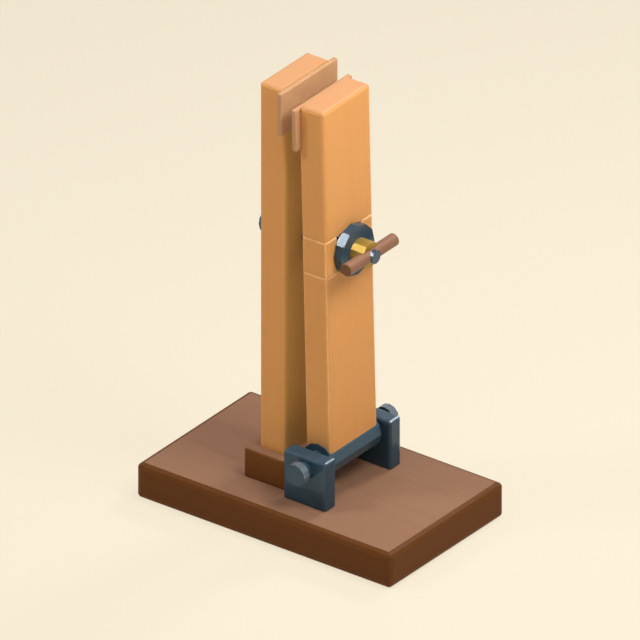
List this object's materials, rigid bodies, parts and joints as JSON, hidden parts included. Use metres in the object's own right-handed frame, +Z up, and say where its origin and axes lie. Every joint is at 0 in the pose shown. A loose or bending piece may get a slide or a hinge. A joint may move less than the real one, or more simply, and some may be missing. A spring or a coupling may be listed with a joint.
{
  "type": "leather stitching clamp",
  "caption": "Bench-top leather stitching clamp: a fixed wooden jaw and a hinged jaw on a heavy base, closed by a hand screw on leather-faced jaws.",
  "frame": {"origin": "middle of the base board's underside", "axes": "+Z up; +X along the base board, from the fixed jaw towards the hand wheel; +Y across the jaws, along the hinge pin"},
  "size_m": [0.3, 0.18, 0.4613],
  "materials": {
    "walnut": "oiled dark brown hardwood, satin",
    "beech": "oiled warm honey-coloured hardwood, satin",
    "rosewood": "turned reddish brown hardwood, satin",
    "tan_leather": "vegetable-tanned leather, matt",
    "blued_steel": "blue-black steel, semi-gloss",
    "bright_steel": "plain bright steel",
    "brass": "machined brass, polished"
  },
  "bodies": {
    "stand": {"base_board": "walnut", "foot_block": "walnut", "fixed_jaw": "beech", "fixed_jaw_pad": "tan_leather", "front_hinge_ear": "blued_steel", "rear_hinge_ear": "blued_steel", "hinge_pin": "blued_steel", "hinge_pin_cap": "blued_steel", "pin_spacers": "blued_steel", "ear_screws": "bright_steel", "foot_block_screws": "bright_steel", "jaw_foot_screws": "bright_steel", "screw_nut": "blued_steel", "nut_washer": "bright_steel", "nut_collar": "blued_steel"},
    "moving_jaw": {"lower_jaw_block": "beech", "front_window_cheek": "beech", "rear_window_cheek": "beech", "upper_jaw_block": "beech", "jaw_dowels": "beech", "moving_jaw_pad": "tan_leather", "hinge_barrel": "blued_steel", "barrel_screws": "bright_steel", "hinge_bushes": "blued_steel"},
    "screw_thrust": {"thrust_washer": "bright_steel"},
    "hand_screw": {"clamp_screw": "blued_steel", "hand_wheel": "blued_steel", "brass_hub": "brass", "hub_grub_screw": "bright_steel", "handle_bar": "rosewood", "screw_cap": "blued_steel"}
  },
  "joints": [
    {"name": "jaw_tilt", "type": "hinge", "parent": "stand", "child": "moving_jaw", "pos_m": [0.02601, 0, 0.0755], "axis": [0, -1, 0], "range_deg": [0, 1.72]},
    {"name": "screw_advance", "type": "slide", "parent": "stand", "child": "screw_thrust", "axis": [-1, 0, 0], "range_m": [0, 0.00582]},
    {"name": "handle_spin", "type": "hinge", "parent": "screw_thrust", "child": "hand_screw", "pos_m": [0.0391, 0, 0.2921], "axis": [-1, 0, 0], "range_deg": [0, 1198]}
  ],
  "couplings": [
    {"joint": "handle_spin", "follows": "screw_advance", "rad_per_m": 3590.4},
    {"joint": "jaw_tilt", "follows": "screw_advance", "rad_per_m": 5.1567}
  ]
}
